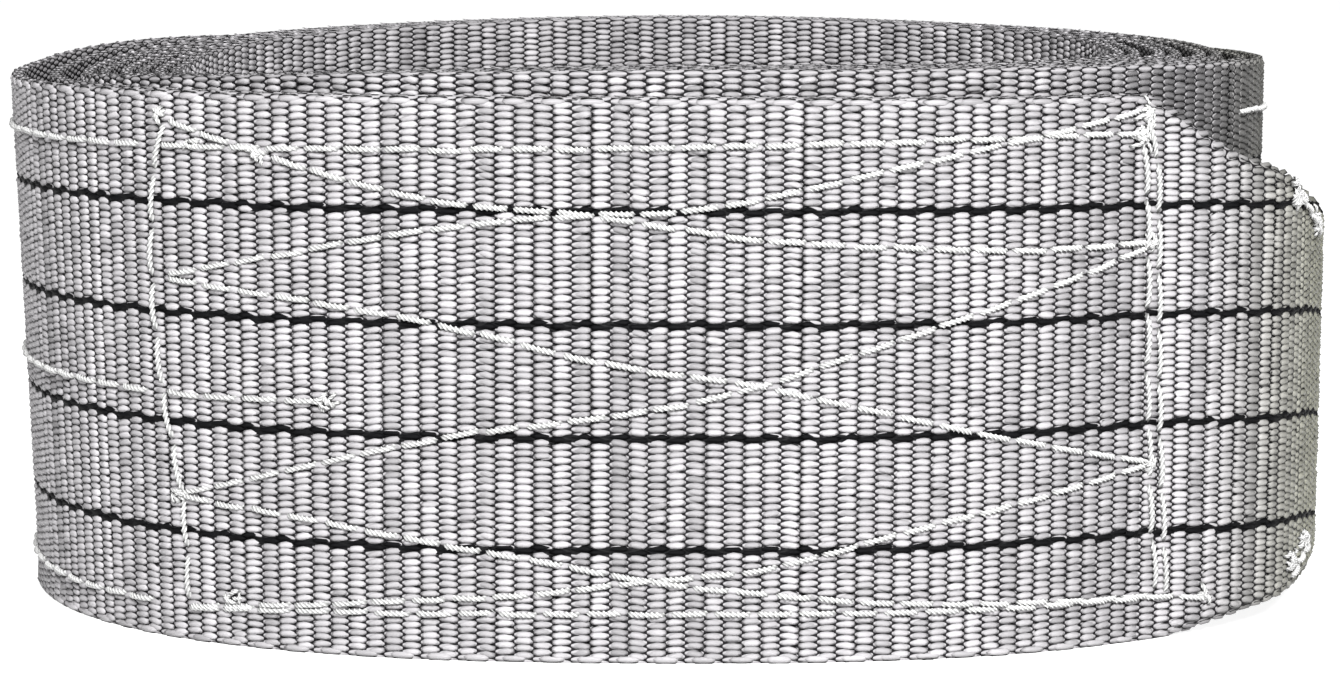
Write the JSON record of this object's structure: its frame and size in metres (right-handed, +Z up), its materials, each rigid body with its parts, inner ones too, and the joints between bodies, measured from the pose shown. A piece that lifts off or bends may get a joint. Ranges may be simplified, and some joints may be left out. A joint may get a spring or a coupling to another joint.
{
  "type": "coiled tow strap",
  "caption": "Duplex polyester tow strap with a folded eye at each end, sewn with white thread and wound into a loose coil on its edge.",
  "frame": {"origin": "on the floor, under the middle of the coil's bounding box", "axes": "+Z up along the coil's axis, the sewn block at the outer eye faces -Y, +X towards the outer eye"},
  "size_m": [0.2654, 0.2474, 0.1096],
  "materials": {
    "webbing": "woven polyester, satin",
    "thread": "twisted polyester thread, satin"
  },
  "bodies": {
    "root": {"webbing": "webbing", "block_stitching": "thread", "upper_seam": "thread", "middle_seam": "thread", "lower_seam": "thread", "upper_tack": "thread", "lower_tack": "thread"}
  },
  "joints": []
}
